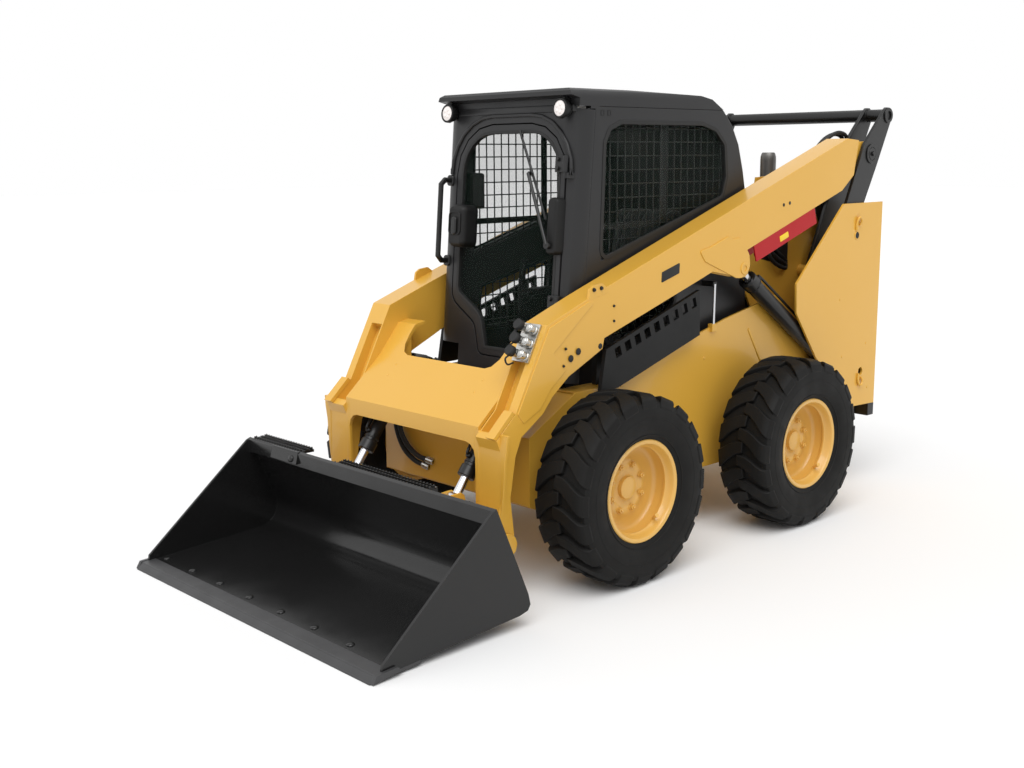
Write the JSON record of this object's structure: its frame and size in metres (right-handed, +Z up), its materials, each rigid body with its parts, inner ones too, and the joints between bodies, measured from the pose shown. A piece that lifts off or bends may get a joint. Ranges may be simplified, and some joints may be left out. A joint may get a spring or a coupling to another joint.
{
  "type": "skid steer loader",
  "caption": "Wheeled skid steer loader with an enclosed cab, linked lift arms over rear towers, hydraulic cylinders and a tilting bucket on a coupler.",
  "frame": {"origin": "middle of the machine's footprint box, on the ground", "axes": "+X forward to the bucket, +Y to the machine's left, +Z up"},
  "size_m": [3.84, 1.784, 2.11],
  "materials": {
    "yellow_paint": "satin machine enamel",
    "grey_paint": "dark grey powder coat",
    "black_paint": "black enamel",
    "black_plastic": "moulded black plastic",
    "tyre_rubber": "black rubber",
    "bucket_steel": "black enamel on rolled plate",
    "edge_steel": "black paint on hard plate",
    "rod_chrome": "hard chrome",
    "red_paint": "red enamel",
    "window_glass": "clear",
    "seat_cloth": "woven black cloth",
    "engine_iron": "cast",
    "core_alloy": "finned core",
    "lamp_body": "lamp housing"
  },
  "bodies": {
    "chassis": {"chassis_frame": "yellow_paint", "tower_left": "yellow_paint", "tower_right": "yellow_paint", "axles_front": "black_paint", "axles_rear": "black_paint", "cab_side_left": "grey_paint", "cab_side_right": "grey_paint", "cab_front_frame": "grey_paint", "cab_rear": "grey_paint", "cab_roof": "black_plastic", "cab_floor": "grey_paint", "cab_glass": "window_glass", "seat_base": "grey_paint", "seat_cushion": "seat_cloth", "seat_back": "seat_cloth", "consoles": "black_plastic", "roof_lamps": "lamp_body", "grab_handle": "black_paint", "engine_block": "engine_iron", "cooling_pack": "core_alloy", "rear_deck": "yellow_paint", "rear_hinges": "black_paint", "rear_bumper": "black_paint", "side_covers": "black_plastic"},
    "rear_link_frame": {"rear_links": "black_paint"},
    "lift_arms": {"arm_left": "yellow_paint", "arm_right": "yellow_paint", "arm_crossmember": "yellow_paint", "lift_brace": "red_paint"},
    "control_link_pair": {"control_links": "black_paint"},
    "lift_cylinders": {"lift_barrels": "black_paint"},
    "lift_cylinder_rods": {"lift_rods": "rod_chrome"},
    "bucket": {"coupler": "yellow_paint", "bucket_shell": "bucket_steel", "cutting_edge": "edge_steel"},
    "tilt_cylinders": {"tilt_barrels": "black_paint"},
    "tilt_cylinder_rods": {"tilt_rods": "rod_chrome"},
    "door": {"cab_door": "grey_paint", "door_glass": "window_glass"},
    "engine_door": {"rear_door": "black_paint"},
    "hood": {"engine_hood": "black_paint", "exhaust_stack": "black_paint"},
    "wheel_front_left": {"tyre_front_left": "tyre_rubber", "rim_front_left": "yellow_paint"},
    "wheel_front_right": {"tyre_front_right": "tyre_rubber", "rim_front_right": "yellow_paint"},
    "wheel_rear_left": {"tyre_rear_left": "tyre_rubber", "rim_rear_left": "yellow_paint"},
    "wheel_rear_right": {"tyre_rear_right": "tyre_rubber", "rim_rear_right": "yellow_paint"}
  },
  "joints": [
    {"name": "rear_link_swing", "type": "hinge", "parent": "chassis", "child": "rear_link_frame", "pos_m": [-1.393, 0, 1.205], "axis": [0, -1, 0], "range_deg": [0, 30]},
    {"name": "lift", "type": "hinge", "parent": "rear_link_frame", "child": "lift_arms", "pos_m": [-1.721, 0, 1.822], "axis": [0, -1, 0], "range_deg": [0, 30]},
    {"name": "control_link_swing", "type": "hinge", "parent": "chassis", "child": "control_link_pair", "pos_m": [-1.653, 0, 1.309], "axis": [0, -1, 0], "range_deg": [0, 36.92]},
    {"name": "lift_cylinder_swing", "type": "hinge", "parent": "chassis", "child": "lift_cylinders", "pos_m": [-1.413, 0, 0.72], "axis": [0, -1, 0], "range_deg": [0, 39.77]},
    {"name": "lift_rod_slide", "type": "slide", "parent": "lift_cylinders", "child": "lift_cylinder_rods", "axis": [0.8259, 0, 0.5637], "range_m": [0, 0.665]},
    {"name": "bucket_tilt", "type": "hinge", "parent": "lift_arms", "child": "bucket", "pos_m": [1.007, 0, 0.24], "axis": [0, 1, 0], "range_deg": [-27, 98]},
    {"name": "tilt_cylinder_swing", "type": "hinge", "parent": "lift_arms", "child": "tilt_cylinders", "pos_m": [0.767, 0, 0.807], "axis": [0, 1, 0], "range_deg": [-1, 2]},
    {"name": "tilt_rod_slide", "type": "slide", "parent": "tilt_cylinders", "child": "tilt_cylinder_rods", "axis": [0.6047, 0, -0.7964], "range_m": [-0.068, 0.245]},
    {"name": "door_swing", "type": "hinge", "parent": "chassis", "child": "door", "pos_m": [0.46685, 0.392, 1.49961], "axis": [-0.0851, 0, 0.9964], "range_deg": [0, 65]},
    {"name": "engine_door_swing", "type": "hinge", "parent": "chassis", "child": "engine_door", "pos_m": [-1.861, 0.382, 0.9], "axis": [0, 0, -1], "range_deg": [0, 95]},
    {"name": "hood_lift", "type": "hinge", "parent": "chassis", "child": "hood", "pos_m": [-0.943, 0, 1.535], "axis": [0, 1, 0], "range_deg": [0, 60]},
    {"name": "wheel_front_left_spin", "type": "hinge", "parent": "chassis", "child": "wheel_front_left", "pos_m": [0.457, 0.748, 0.417], "axis": [0, 1, 0], "continuous": true},
    {"name": "wheel_front_right_spin", "type": "hinge", "parent": "chassis", "child": "wheel_front_right", "pos_m": [0.457, -0.748, 0.417], "axis": [0, 1, 0], "continuous": true},
    {"name": "wheel_rear_left_spin", "type": "hinge", "parent": "chassis", "child": "wheel_rear_left", "pos_m": [-0.793, 0.748, 0.417], "axis": [0, 1, 0], "continuous": true},
    {"name": "wheel_rear_right_spin", "type": "hinge", "parent": "chassis", "child": "wheel_rear_right", "pos_m": [-0.793, -0.748, 0.417], "axis": [0, 1, 0], "continuous": true}
  ],
  "couplings": [
    {"joint": "rear_link_swing", "follows": "lift", "ratio": 1},
    {"joint": "control_link_swing", "follows": "lift", "ratio": 1.214},
    {"joint": "lift_cylinder_swing", "follows": "lift", "ratio": 1.3089},
    {"joint": "lift_rod_slide", "follows": "lift", "m_per_rad": 1.2609},
    {"joint": "tilt_cylinder_swing", "follows": "bucket_tilt", "ratio": 0.0173},
    {"joint": "tilt_rod_slide", "follows": "bucket_tilt", "m_per_rad": 0.14213}
  ]
}
